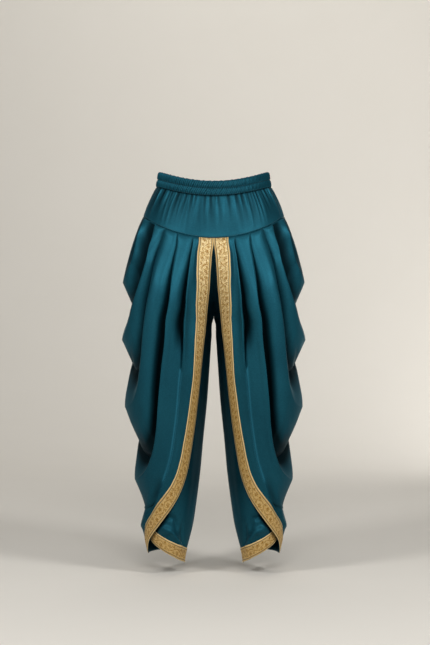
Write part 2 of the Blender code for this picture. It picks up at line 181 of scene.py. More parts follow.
def make_cloth(name, grid, finish, sign=1, wall=CLOTH, offset=-1.0, ring=False, across=None):
    """A sheet through a grid of points, with a UV map in metres and its thickness."""
    rows, columns = grid.shape[:2]
    along = lengths_along(grid, 1)
    along = along - along[:, columns // 2][:, None]
    down = lengths_along(grid, 0) if across is None else across
    points = grid * (sign, 1, 1)
    row = np.arange(rows if ring else rows - 1)
    column = np.arange(columns if ring else columns - 1)
    here = (row[:, None] * columns + column[None, :]).ravel()
    below = (((row + 1) % rows)[:, None] * columns + column[None, :]).ravel()
    beside = (row[:, None] * columns + ((column + 1) % columns)[None, :]).ravel()
    opposite = (((row + 1) % rows)[:, None] * columns + ((column + 1) % columns)[None, :]).ravel()
    faces = np.stack((here, below, opposite, beside), axis=1)
    if sign < 0:
        faces = faces[:, ::-1]
    mesh = bpy.data.meshes.new(name)
    mesh.from_pydata(points.reshape(-1, 3).tolist(), [], faces.tolist())
    layer = mesh.uv_layers.new(name="cloth")
    corner = faces.ravel()
    layer.data.foreach_set("uv", np.stack((along.ravel()[corner], down.ravel()[corner]), axis=1).ravel())
    mesh.shade_smooth()
    piece = bpy.data.objects.new(name, mesh)
    bpy.context.scene.collection.objects.link(piece)
    mesh.materials.append(finish)
    if wall:
        thickness = piece.modifiers.new("cloth", "SOLIDIFY")
        thickness.thickness = wall
        thickness.offset = offset
        thickness.use_even_offset = False
    print(name, rows, "by", columns, "points,", len(faces) * (4 if wall else 2), "triangles or more")
    return piece


def give_painted_shade(piece, depth):
    """Write each point's painted shade, from 0 to 1, where the finish can read it."""
    layer = piece.data.attributes.new("depth", "FLOAT", "POINT")
    layer.data.foreach_set("value", depth.ravel().astype(np.float32))


def outward_of(grid):
    """Directions straight out of a grid of points."""
    outward = np.cross(np.gradient(grid, axis=0), np.gradient(grid, axis=1))
    return outward / np.linalg.norm(outward, axis=2)[:, :, None]


def make_pair(name, grid, depth, finish):
    """The left leg's piece and its mirror image, both with their painted shade."""
    pair = {}
    for side_name, sign in SIDES:
        pair[side_name] = make_cloth(f"{name}_{side_name}_satin", grid, finish, sign)
        give_painted_shade(pair[side_name], depth)
    return pair


print("cloth is", CLOTH * 1000, "mm thick")

# %% [markdown]
# ## Shader maths as Python
#
# A finish is a graph of nodes, and most of its nodes are sums. A small class wraps one socket and
# lets Python's own operators add those Math nodes, so a weave can be written as a formula. Every
# other node comes from one method, which first sets the node and then fills its sockets.


# %% Sockets that can be added and multiplied
class Field:
    """A value that varies over a finish: one socket, with Python's operators on it."""

    def __init__(self, finish, socket):
        self.finish = finish
        self.socket = socket

    def math(self, operation, *values):
        return self.finish.node("ShaderNodeMath", {"operation": operation}, dict(enumerate(values)))

    def __add__(self, other):
        return self.math("ADD", self, other)

    def __sub__(self, other):
        return self.math("SUBTRACT", self, other)

    def __rsub__(self, other):
        return self.math("SUBTRACT", other, self)

    def __mul__(self, other):
        return self.math("MULTIPLY", self, other)

    def __truediv__(self, other):
        return self.math("DIVIDE", self, other)

    __radd__ = __add__
    __rmul__ = __mul__

    def sine(self):
        return self.math("SINE", self)

    def size(self):
        return self.math("ABSOLUTE", self)

    def most(self, other):
        return self.math("MAXIMUM", self, other)

    def repeat(self, length):
        """The distance from the middle of the repeat it lies in, from minus to plus half a length."""
        return self.math("FRACT", self / length) * length - length / 2

    def step(self, start, end):
        """0 before start and 1 after end, or the other way round, with a smooth slope between."""
        return self.finish.node("ShaderNodeMapRange", {"interpolation_type": "SMOOTHSTEP"},
                                {0: self, 1: start, 2: end, 3: 0.0, 4: 1.0})


print("on a value:", sorted(name for name in dir(Field) if name[0] != "_"))


# %% A finish and its nodes
class Finish:
    """A material with its Principled shader, and one method for every other node."""

    def __init__(self, name, colour, roughness, metallic=0.0, constants=()):
        self.material = bpy.data.materials.new(name)
        self.material.use_nodes = True
        self.material.diffuse_color = (*colour, 1.0)
        self.tree = self.material.node_tree
        self.shader = self.tree.nodes["Principled BSDF"]
        self.fill(self.shader, {"Base Color": (*colour, 1.0), "Roughness": roughness,
                                "Metallic": metallic, **dict(constants)})

    def fill(self, node, sockets):
        for key, value in sockets.items():
            if isinstance(value, Field):
                self.tree.links.new(value.socket, node.inputs[key])
            else:
                node.inputs[key].default_value = value

    def node(self, kind, settings=None, sockets=None, output=0):
        """Any node: its type, its settings, and the values or links of its sockets."""
        made = self.tree.nodes.new(kind)
        for key, value in (settings or {}).items():
            setattr(made, key, value)
        self.fill(made, sockets or {})
        return Field(self, made.outputs[output])

    def along_and_across(self):
        """The piece's UV map: metres along its rows, and metres across them."""
        place = self.node("ShaderNodeUVMap", {"uv_map": "cloth"})
        return [self.node("ShaderNodeSeparateXYZ", None, {0: place}, output) for output in (0, 1)]

    def height(self):
        """Height in the frame, in metres."""
        place = self.node("ShaderNodeTexCoord", None, None, 3)
        return self.node("ShaderNodeSeparateXYZ", None, {0: place}, 2)

    def spot(self, scale, detail=2.0, stretch=(1.0, 1.0, 1.0), output=0):
        """Soft noise over the piece, at so many lumps to the metre."""
        place = self.node("ShaderNodeTexCoord", None, None, 3)
        spread = self.node("ShaderNodeMapping", None, {"Vector": place, "Scale": stretch})
        return self.node("ShaderNodeTexNoise", None,
                         {"Vector": spread, "Scale": scale, "Detail": detail, "Roughness": 0.55}, output)

    def threads(self, along, across, length, width):
        """Cloudy streaks of thread, long one way and thin the other."""
        place = self.node("ShaderNodeCombineXYZ", None, {0: along / length, 1: across / width})
        return self.node("ShaderNodeTexNoise", None,
                         {"Vector": place, "Scale": 1.0, "Detail": 2.0, "Roughness": 0.5})

    def mix(self, factor, first, second):
        """One colour turning into another."""
        return self.node("ShaderNodeMix", {"data_type": "RGBA"}, {0: factor, 6: first, 7: second}, 2)

    def bump(self, height, strength, distance):
        """Small relief from a height, for the Normal socket."""
        return self.node("ShaderNodeBump", None,
                         {"Strength": strength, "Distance": distance, "Height": height})

    def use(self, sockets):
        """The finished material, with its shader's sockets filled."""
        self.fill(self.shader, sockets)
        return self.material


print("on a finish:", sorted(name for name in dir(Finish) if name[0] != "_"))

# %% [markdown]
# ## Satin
#
# Satin has long threads that lie loose on its face, so it shines in soft wide lights and goes
# nearly black where it turns away. Its shine takes the colour of the cloth. A dielectric shader
# alone would shine white, so part of the shine is metallic. The threads themselves are far thinner
# than a pixel, and only show as faint streaks along the piece, in colour, in gloss and in relief.
#
# Satin is nearly black deep in its folds, where light only comes in after many bounces from dark
# cloth. Lamps alone leave the folds too light at this size, so that shade is painted: each piece
# carries its depth between its folds as painted shade, and the finish darkens with it, and with a
# little painted shade towards the hems.

# %% Satin finish
SATIN_DARK = (0.0080, 0.066, 0.100, 1.0)
SATIN_LIGHT = (0.0130, 0.102, 0.148, 1.0)
# painted shade: the colour the satin turns deep in its folds and towards the hems
SATIN_PAINTED_SHADE = (0.0016, 0.0070, 0.0100, 1.0)
STREAK_LENGTH, STREAK_WIDTH = 0.020, 0.0007
SLUB_LENGTH, SLUB_WIDTH = 0.015, 0.0012
RIB_RATE = 5200.0
# painted shade towards the hems: the heights where it starts and ends, and how much
LOW_START, LOW_END, LOW_PAINTED_SHADE = -0.30, -0.66, 0.26


def make_satin():
    finish = Finish("satin", SATIN_LIGHT[:3], 0.46, 0.45,
                    {"Specular IOR Level": 0.15, "Specular Tint": (0.25, 0.62, 0.75, 1.0)})
    along, across = finish.along_and_across()
    streak = finish.threads(along, across, STREAK_LENGTH, STREAK_WIDTH)
    slub = finish.threads(across, along, SLUB_LENGTH, SLUB_WIDTH)
    cloud = finish.spot(9.0)
    grain = finish.spot(300.0, 1.0)
    rib = (across * RIB_RATE).sine() * 0.5 + 0.5
    # painted shade: the depth attribute darkens the satin deep in its folds
    depth = finish.node("ShaderNodeAttribute", {"attribute_name": "depth"}, None, 2)
    shade = cloud * 0.35 + streak * 0.3 + grain * 0.25 + slub * 0.1
    colour = finish.mix(shade.step(0.30, 0.70), SATIN_DARK, SATIN_LIGHT)
    # painted shade: a little darker towards the hems as well
    low = finish.height().step(LOW_START, LOW_END) * LOW_PAINTED_SHADE
    colour = finish.mix(depth + low, colour, SATIN_PAINTED_SHADE)
    relief = streak * 0.6 + slub * 0.3 + rib * 0.1
    return finish.use({"Base Color": colour,
                       "Roughness": 0.40 + streak * 0.08 + cloud * 0.04,
                       "Normal": finish.bump(relief, 0.10, 0.0003)})


satin = make_satin()
print("satin:", len(satin.node_tree.nodes), "nodes")

# %% [markdown]
# ## Brocade
#
# The border is a woven strip 36 mm wide. It has plain gold edges, a dark line of stitching inside
# each edge, and between these a scroll: a stem that waves from side to side, tendrils that cross
# it and small florets in its bends, deep gold on a pale flecked ground. Lower down the ground is
# painted a deeper, darker gold with fewer flecks, as painted shade. This is the usual scroll of
# such borders, drawn here by formulas from the distance along and across the strip.

# %% Brocade finish
BORDER_WIDTH = 0.036
SCROLL_REPEAT = 0.050
SCROLL_SWING = 0.0058
CURL_SWING = 0.0085
FLORET_SIDE = 0.0050
FLORET_RADIUS = 0.0048
BUD_SIDE = 0.0072
BUD_REACH = 0.234
BUD_RADIUS = 0.0032
LINE_FROM_MIDDLE = 0.0136
GOLD_GROUND = (0.50, 0.325, 0.100, 1.0)
GOLD_PALE = (0.80, 0.68, 0.40, 1.0)
GOLD_SCROLL = (0.29, 0.140, 0.013, 1.0)
GOLD_EDGE = (0.55, 0.325, 0.080, 1.0)
# painted shade: the deeper gold that the ground turns lower down
GOLD_PAINTED_SHADE = (0.52, 0.31, 0.075, 1.0)
LINE_DARK = (0.085, 0.075, 0.055, 1.0)


def floret(along, across, petals, radius):
    """A small flower: 1 inside a rim that waves in and out as often as it has petals."""
    square = along * along + across * across
    distance = square.math("SQRT", square)
    turn = across.math("ARCTAN2", across, along)
    return (distance - radius * (1 + 0.30 * (turn * petals).sine())).step(0.0004, -0.0003)


def make_brocade():
    finish = Finish("brocade", GOLD_EDGE[:3], 0.45, 0.35, {"Specular IOR Level": 0.4})
    along, across = finish.along_and_across()
    middle = across - BORDER_WIDTH / 2
    phase = along * (2 * np.pi / SCROLL_REPEAT)
    wobble = (finish.spot(160.0, 2.0) - 0.5) * 0.0022
    stem = (middle - phase.sine() * SCROLL_SWING + wobble).size().step(0.0016, 0.0008)
    curl = (middle + (phase * 2.0 + 0.7).sine() * CURL_SWING + wobble).size().step(0.0014, 0.0007)
    flowers = stem.most(curl * 0.8)
    for place, side in ((0.25, -1), (0.75, 1)):
        near = (along + SCROLL_REPEAT * (0.5 - place)).repeat(SCROLL_REPEAT)
        beside = middle - FLORET_SIDE * side + wobble
        flowers = flowers.most(floret(near, beside, 5.0, FLORET_RADIUS))
        for shift in (-BUD_REACH, BUD_REACH):
            bud = floret(near - SCROLL_REPEAT * shift, middle + BUD_SIDE * side, 3.0, BUD_RADIUS)
            flowers = flowers.most(bud)
    fleck = finish.spot(520.0, 2.0)
    grain = finish.spot(1500.0, 1.0)
    inside = middle.size().step(0.0146, 0.0142)
    line = (middle.size() - LINE_FROM_MIDDLE).size().step(0.0011, 0.0006)
    rim = middle.size().step(0.0152, 0.0166)
    ground = finish.mix(fleck.step(0.40, 0.62), GOLD_GROUND, GOLD_PALE)
    # painted shade: the ground turns a deeper, darker gold lower down
    ground = finish.mix(finish.height().step(-0.22, -0.60) * 0.6, ground, GOLD_PAINTED_SHADE)
    scroll = flowers * (0.45 + fleck.step(0.62, 0.42) * 0.55)
    ground = finish.mix(scroll, ground, GOLD_SCROLL)
    edge = finish.mix(rim * 0.6, GOLD_EDGE, GOLD_PALE)
    colour = finish.mix(inside, edge, ground)
    colour = finish.mix(line * 0.9, colour, LINE_DARK)
    weave = (along * 6300.0).sine() * (across * 4200.0).sine()
    relief = flowers * inside * 0.8 + grain * 0.5 + weave * 0.12 - line
    return finish.use({"Base Color": colour,
                       "Roughness": 0.46 + grain * 0.14,
                       "Metallic": 0.25 - line * 0.2,
                       "Normal": finish.bump(relief, 0.6, 0.0005)})


brocade = make_brocade()
print("brocade:", len(brocade.node_tree.nodes), "nodes")

# %% [markdown]
# ## The drapes
#
# Each drape is one piece of cloth from its front edge, with the border, round the outer side to
# the centre back seam and the inseam. Its folds are five long lines. In front each is the edge of
# a knife pleat that faces outwards and overlaps the next. At the outer side each becomes the
# lowest point of a cowl. Behind it goes up again as a mirror image. The table gives each line as
# angles and heights with its depth in front and at the side, where the notch below it lies and its
# cowl begins, how soon the cloth falls from it, and how far its hollow fills out lower down.

# %% Folds of a drape
Fold = namedtuple("Fold", "start path tip front side notch corner fall fill")
FOLDS = (
    Fold(70, ((67, -0.141), (67, -0.172), (68, -0.213), (76, -0.246)), -0.262,
         0.016, 0.0245, 0.34, 0.315, 3.6, 0.0),
    Fold(51, ((49, -0.167), (46, -0.197), (46, -0.224), (48, -0.267), (53, -0.316), (61, -0.359),
              (74, -0.395)), -0.409, 0.020, 0.0250, 0.31, 0.338, 1.3, 0.0),
    Fold(40, ((40, -0.167), (38, -0.206), (34, -0.287), (35, -0.381), (39, -0.470), (46, -0.526),
              (56, -0.559), (72, -0.574)), -0.578, 0.022, 0.0275, 0.43, 0.398, 0.7, 0.0),
    Fold(28.5, ((18, -0.241), (7.5, -0.334), (6.5, -0.408), (10, -0.477), (15.5, -0.572), (18, -0.620),
                (28, -0.696), (40, -0.732), (60, -0.755)), -0.763, 0.022, 0.0215, 0.56, 0.410, 1.1, 1.0),
    Fold(15.5, ((8, -0.211), (-6, -0.300), (-16, -0.353), (-17, -0.408), (-13, -0.532), (-9, -0.622),
                (3, -0.730), (28, -0.812), (58, -0.862)), -0.886, 0.017, 0.0170, 0.50, 0.410, 1.0, 0.0),
)
COWL_START = 72
SEAM_LIFT = 0.0006
PLEAT_START = 0.0046
PLEAT_QUICK = 0.016
PRESSED = 0.20
PRESS = 0.55
FILL_START = 0.125
FILL_LENGTH = 0.08
FILL_FALL = 0.74
FILL_RISE = 0.97
SIDE_FADE = 0.62
SIDE_SOFT = 0.86
SEAM_RISE = 0.26
SEATED_SHARE = 0.12
TURN_LENGTH = 0.0020


def read_path(points, middle, share):
    """Read a path of angles and heights so that its middle point comes at a share of a half."""
    steps = np.hypot(np.diff(points[:, 0]) * TURN_LENGTH, np.diff(points[:, 1]))
    along = np.concatenate(((0.0,), np.cumsum(steps)))
    half = along[middle]
    knots = np.where(along <= half, 0.5 * along / half,
                     0.5 + 0.5 * (along - half) / (along[-1] - half))
    return curve_through(knots, points, share)


def fold_path(fold, share):
    """Angle and height along a fold's edge, from the front seam at 0 to the back seam at 1."""
    start = (fold.start, float(yoke_seam(fold.start)))
    end = (180 - fold.start, float(yoke_seam(180 - fold.start)))
    behind = tuple((180 - angle, height) for angle, height in reversed(fold.path))
    points = np.array((start,) + fold.path + ((90, fold.tip),) + behind + (end,))
    return read_path(points, len(fold.path) + 1, share)


def fold_lift(fold, share):
    """Height of a fold's edge off the form: flat at the yoke seam, highest at the outer side."""
    from_side = np.abs(share - 0.5) * 2
    lift = between(fold.front, fold.side, ease(1 - from_side / SIDE_FADE))
    rise = ease((1 - from_side) / SEAM_RISE)
    start = SEAM_LIFT + PLEAT_START * ease((1 - from_side) / PLEAT_QUICK)
    return between(start, lift, rise)


print("folds:", len(FOLDS), "on each leg")

# %% [markdown]
# The drape's own edge starts at the yoke's centre with the border, runs down the inner side of the
# leg, and crosses to the outer side at the hem, where it turns into the back hem. From there it
# goes up the inseam and the centre back seam. Only the part in front needs a table, with the lift
# of the cloth at its edge and at the inside of the border.

# %% Edge of a drape
Edge = namedtuple("Edge", "angle height lift inside")
EDGE_START = 0.05
EDGES = (
    Edge(-2.8, -0.176, 0.0030, 0.0060),
    Edge(-6.3, -0.196, 0.0050, 0.0100),
    Edge(-9.8, -0.214, 0.0060, 0.0120),
    Edge(-13.5, -0.232, 0.0069, 0.0140),
    Edge(-17.6, -0.250, 0.0078, 0.0150),
    Edge(-22.4, -0.269, 0.0086, 0.0160),
    Edge(-27.0, -0.287, 0.0095, 0.0160),
    Edge(-31.7, -0.305, 0.0110, 0.0160),
    Edge(-36.9, -0.323, 0.0128, 0.0155),
    Edge(-42.6, -0.341, 0.0149, 0.0150),
    Edge(-46.7, -0.360, 0.0165, 0.0150),
    Edge(-47.3, -0.378, 0.0159, 0.0150),
    Edge(-46.6, -0.404, 0.0138, 0.0155),
    Edge(-46.6, -0.430, 0.0119, 0.0160),
    Edge(-46.3, -0.467, 0.0098, 0.0165),
    Edge(-45.8, -0.504, 0.0081, 0.0170),
    Edge(-44.1, -0.560, 0.0067, 0.0161),
    Edge(-41.9, -0.623, 0.0055, 0.0150),
    Edge(-38.4, -0.680, 0.0045, 0.0145),
    Edge(-32.5, -0.735, 0.0037, 0.0140),
    Edge(-26.5, -0.767, 0.0033, 0.0140),
    Edge(-16.7, -0.799, 0.0032, 0.0140),
    Edge(-2.5, -0.830, 0.0033, 0.0130),
    Edge(14.4, -0.859, 0.0035, 0.0110),
    Edge(33.0, -0.887, 0.0040, 0.0100),
    Edge(54.0, -0.915, 0.0045, 0.0090),
    Edge(72.0, -0.942, 0.0050, 0.0070),
)
CORNER_LIFT = 0.005
BACK_HEM_SHARE = 0.63
INSEAM_SHARE = 0.85
BACK_SEAM_BEND = 0.55


def edge_front():
    """Angle, height and both lifts of the drape's front edge, from the yoke seam to the corner."""
    start = (EDGE_START, float(yoke_seam(EDGE_START)), SEAM_LIFT, SEAM_LIFT)
    return np.array((start,) + EDGES + ((90, CORNER, CORNER_LIFT, CORNER_LIFT + 0.001),))


def edge_path(share):
    """The drape's own boundary: front edge, back hem, inseam and centre back seam."""
    front = edge_front()
    beyond = front[-1] + (20, 0, 0, 0)
    front = np.vstack((front, beyond))
    steps = np.hypot(np.diff(front[:, 0]) * TURN_LENGTH, np.diff(front[:, 1]))
    along = np.concatenate(((0.0,), np.cumsum(steps)))
    path = curve_through(0.5 * along / along[-2], front, np.minimum(share, 0.5))

    hem = np.clip((share - 0.5) / (BACK_HEM_SHARE - 0.5), 0, 1)
    rise = np.clip((share - BACK_HEM_SHARE) / (INSEAM_SHARE - BACK_HEM_SHARE), 0, 1)
    back = np.clip((share - INSEAM_SHARE) / (1 - INSEAM_SHARE), 0, 1)
    height = between(CORNER, INSEAM_END, ease(hem * 1.5 - 0.5))
    height = height + (CROTCH - INSEAM_END) * rise
    height = height + (yoke_seam(180.0) - CROTCH) * (BACK_SEAM_BEND * back ** 2
                                                      + (1 - BACK_SEAM_BEND) * back ** 1.5)
    inner = 180 + inner_turn(height)
    angle = np.where(share < BACK_HEM_SHARE, 90 + (inner - 90) * hem, inner)
    lift = CORNER_LIFT * ease(1 - hem)
    behind = np.stack((angle, height, lift, lift), axis=-1)
    return np.where((share > 0.5)[:, None], behind, path)


print("front edge:", len(EDGES) + 2, "points")

# %% [markdown]
# A pleat isn't a wave. From its crisp edge the cloth lies almost flat, turns down, and runs on
# under the edge of its neighbour, so each edge stands in front of a dark hollow. At the outer side
# the same cloth is a cowl: it hangs from the fold, comes in to a notch and swells out to the next
# fold. Short tables hold these two sections, and each column of the grid blends between them by
# how near it is to the side.

# %% Section of a pleat and of a cowl
Profile = namedtuple("Profile", "front_place front_rise side_place side_rise")
FALLING = (
    Profile(0.00, 0.80, 0.00, 1.00),
    Profile(0.02, 0.98, 0.04, 0.98),
    Profile(0.06, 1.00, 0.12, 0.90),
    Profile(0.17, 0.96, 0.26, 0.76),
    Profile(0.30, 0.82, 0.42, 0.60),
    Profile(0.43, 0.52, 0.58, 0.44),
    Profile(0.55, 0.12, 0.74, 0.29),
    Profile(0.70, -0.32, 0.89, 0.15),
    Profile(1.00, -0.52, 1.00, 0.05),
)
RISING = (
    Profile(0.00, -0.52, 0.00, 0.05),
    Profile(0.10, -0.53, -0.10, -0.08),
    Profile(0.40, -0.48, 0.02, -0.04),
    Profile(0.72, -0.30, 0.20, 0.20),
    Profile(0.94, 0.05, 0.48, 0.52),
    Profile(1.01, 0.55, 0.80, 0.88),
    Profile(1.00, 0.80, 1.00, 1.00),
)
TOP = (
    Profile(0.00, 0.00, 0.00, 0.00),
    Profile(0.25, 0.00, 0.16, 0.16),
    Profile(0.48, -0.08, 0.32, 0.32),
    Profile(0.68, -0.18, 0.48, 0.48),
    Profile(0.86, -0.26, 0.64, 0.64),
    Profile(0.98, -0.28, 0.78, 0.78),
    Profile(1.05, -0.20, 0.88, 0.88),
    Profile(1.03, 0.25, 0.95, 0.95),
    Profile(1.00, 0.80, 1.00, 1.00),
)


def profile_at(table, place):
    """The four numbers of a section at a place from 0 to 1 down its table."""
    return curve_through(np.linspace(0, 1, len(table)), np.array(table), np.asarray(place, float))


print("rows in the tables:", len(FALLING), len(RISING), len(TOP))


# %% Rows between two folds
FLAP_LIFT = 0.22
FALL_ROWS = 16
RISE_ROWS = 10
TOP_ROWS = 16
OVERLAP = 0.007
OVERLAP_LIMIT = 0.22
HANG_START = 0.25
HANG_ROWS = 1.5


def filled(fold, share):
    """How far the hollow beside a fold has filled out: 0 near the yoke, the fold's own share below."""
    return fold.fill * ease((0.5 - np.abs(share - 0.5) - FILL_START) / FILL_LENGTH)


def cowl_rows(upper, lower, upper_lift, lower_lift, fold, share):
    """Rows of angles, heights and lifts from one fold's edge to the next."""
    near = 0.5 - np.abs(share - 0.5)
    out = (near - fold.corner) / (0.5 - fold.corner)
    out = (out - np.maximum(out - SIDE_SOFT, 0) ** 2 / (2 - 2 * SIDE_SOFT)) / (0.5 + 0.5 * SIDE_SOFT)
    step = lower - upper
    span = on_form(lower[:, 0], lower[:, 1], 0) - on_form(upper[:, 0], upper[:, 1], 0)
    width = np.linalg.norm(span, axis=1)
    full = filled(fold, share)
    overlap = np.minimum(OVERLAP / np.maximum(width, 0.005), OVERLAP_LIMIT) * (1 - full)
    flap = np.minimum(1 + overlap, 1 + (fold.notch - 1) * out)
    out = np.clip(out, 0, 1)
    late = out ** 2.0
    hang = FLAP_LIFT * ease(out / HANG_START) * (1 - out)
    fall = fold.fall * (1 - PRESS * ease(1 - near / PRESSED))
    rows = []
    for number in range(FALL_ROWS):
        front_place, front_rise, side_place, side_rise = profile_at(FALLING, number / FALL_ROWS)
        front_place = max(front_place, 0.0) ** fall
        front_rise = front_rise + max(FILL_FALL - front_rise, 0.0) * full
        place = between(front_place, side_place, out) * flap
        rise = between(front_rise, side_rise, out) + hang * (number / FALL_ROWS) ** 2
        rows.append((upper + step * place[:, None], rise * upper_lift))
    for number in range(RISE_ROWS):
        front_place, front_rise, side_place, side_rise = profile_at(RISING, number / RISE_ROWS)
        place = flap + (1 - flap) * between(front_place, side_place, ease(out * 3))
        front_rise = front_rise + max(FILL_RISE - front_rise, 0.0) * full
        rise = between(front_rise, side_rise, late)
        edge = hang * max(0.0, 1 - number / HANG_ROWS)
        rows.append((upper + step * place[:, None], rise * lower_lift + edge * upper_lift))
    return rows


def top_rows(upper, lower, lower_lift, share):
    """Rows from the yoke seam to the first fold's edge."""
    side = ease((0.5 - np.abs(share - 0.5)) * 2.5)
    rows = []
    for number in range(TOP_ROWS):
        front_place, front_rise, side_place, side_rise = profile_at(TOP, number / TOP_ROWS)
        place = between(front_place, side_place, side)
        rise = between(front_rise, side_rise, side)
        rows.append((between(upper, lower, place[:, None]), rise * lower_lift))
    return rows


print("rows from fold to fold:", FALL_ROWS + RISE_ROWS)

# %% [markdown]
# Worn cloth also has softer lines between its folds. Each is a short path of angles and heights
# with a width and a depth: a ridge where the depth is above 0 and a trough where it is below. It
# fades out at both ends, so it never ends in a step.

# %% Creases
Crease = namedtuple("Crease", "path width depth")
DRAPE_CREASES = (
    Crease(((78, -0.108), (76, -0.150), (77, -0.195), (83, -0.240)), 0.0030, 0.0016),
    Crease(((102, -0.108), (104, -0.150), (103, -0.195), (97, -0.240)), 0.0030, 0.0016),
    Crease(((44, -0.330), (50, -0.400), (58, -0.450), (70, -0.500)), 0.008, 0.0026),
    Crease(((62, -0.420), (70, -0.455), (84, -0.490)), 0.006, -0.0022),
    Crease(((24, -0.560), (34, -0.630), (48, -0.672), (66, -0.690)), 0.008, 0.0028),
    Crease(((40, -0.575), (52, -0.615), (70, -0.635)), 0.006, -0.0022),
    Crease(((4, -0.560), (14, -0.650), (30, -0.735), (54, -0.790)), 0.007, 0.0026),
    Crease(((-18, -0.600), (-12, -0.690), (4, -0.760), (20, -0.800)), 0.006, 0.0024),
    Crease(((16, -0.752), (28, -0.796), (40, -0.828), (54, -0.852)), 0.0085, -0.0095),
    Crease(((122, -0.420), (128, -0.480), (134, -0.560), (150, -0.640)), 0.008, 0.0026),
    Crease(((150, -0.300), (146, -0.400), (148, -0.520)), 0.007, 0.0022),
    Crease(((172, -0.400), (168, -0.520), (172, -0.650)), 0.007, 0.0024),
)


def creased(angle, height, lift, creases):
    """Lifts with soft ridges and troughs along short paths of angles and heights."""
    across = 0.5 * (form_sizes(height)[1] + form_sizes(height)[2]) * np.pi / 180
    for crease in creases:
        path = np.array(crease.path, float)
        nearest = np.full(angle.shape, 9.0)
        place = np.zeros(angle.shape)
        count = len(path) - 1
        for number in range(count):
            run = (path[number + 1] - path[number])
            run_x = run[0] * across
            gap_x = (angle - path[number, 0]) * across
            gap_y = height - path[number, 1]
            share = np.clip((gap_x * run_x + gap_y * run[1]) / (run_x ** 2 + run[1] ** 2), 0, 1)
            gap = np.hypot(gap_x - share * run_x, gap_y - share * run[1])
            closer = gap < nearest
            nearest = np.where(closer, gap, nearest)
            place = np.where(closer, (number + share) / count, place)
        fade = np.sin(np.pi * np.clip(place, 0.0, 1.0)) ** 0.6
        lift = lift + crease.depth * fade * np.exp(-(nearest / crease.width) ** 2)
    return lift


print("creases on a drape:", len(DRAPE_CREASES))


# %% Rows at the front edge
HEM_ROWS = 9
HEM_SAG = 0.55
HEM_SAG_FILLED = 0.75
NOSE = 0.78
STRIP_ROWS = 7
STRIP_LIMIT = 0.88
STRIP_TRIES = 12


def edge_rows(share, path, lift, edge):
    """The last rows: from the last fold to the strip under the border, and the drape's edge."""
    outline = edge[:, :2]
    edge_lift, inside_lift = edge[:, 2], edge[:, 3]
    last = on_form(outline[:, 0], outline[:, 1], edge_lift)
    along = np.gradient(last, share, axis=0)
    along /= np.linalg.norm(along, axis=1)[:, None]
    strip = 0.5 + 0 * share
    for _ in range(STRIP_TRIES):
        reach = outline - (outline - path) * strip[:, None]
        across = last - on_form(reach[:, 0], reach[:, 1], inside_lift)
        width = np.linalg.norm(np.cross(across, along), axis=1)
        strip = np.clip(strip * BORDER_WIDTH / width, 0.02, STRIP_LIMIT)
    full = filled(FOLDS[-2], share)
    rows = []
    for place in np.linspace(0, 1, HEM_ROWS, endpoint=False):
        reach = place * (1 - strip)
        sag = np.sin(np.pi * place ** 0.85) * HEM_SAG * (1 - HEM_SAG_FILLED * full)
        nose = np.maximum(between(NOSE, 1, ease(place / 0.08)), FILL_RISE * full)
        rows.append((between(path, outline, reach[:, None]),
                     between(lift * nose, inside_lift, place) * (1 - sag)))
    for place in np.linspace(1, 0, STRIP_ROWS):
        rows.append((outline - (outline - path) * (strip * place)[:, None],
                     between(edge_lift, inside_lift, place)))
    return rows


print("rows at the edge:", HEM_ROWS, "and", STRIP_ROWS, "under the border")


# %% The drapes
DRAPE_SPANS = ((0.0, 0.5, 112), (0.5, BACK_HEM_SHARE, 24), (BACK_HEM_SHARE, INSEAM_SHARE, 40),
               (INSEAM_SHARE, 1.0, 34))
# painted shade of the drapes: in the hollows between folds, and on the flank beside the first fold
DEPTH_REACH = 12
DEPTH_SOFT = 0.0025
DEPTH_START = 0.20
DEPTH_END = 1.10
FOLD_PAINTED_SHADE = 0.94
FLANK_SHADE = 0.62
FLANK_START, FLANK_SOFT = 0.8, 2.2
FLANK_END, FLANK_FADE = 93, 12


def drape_shares():
    """Places of the drape's columns along its folds."""
    spans = [np.linspace(start, end, count, endpoint=False) for start, end, count in DRAPE_SPANS]
    return np.concatenate(spans + [(1.0,)])


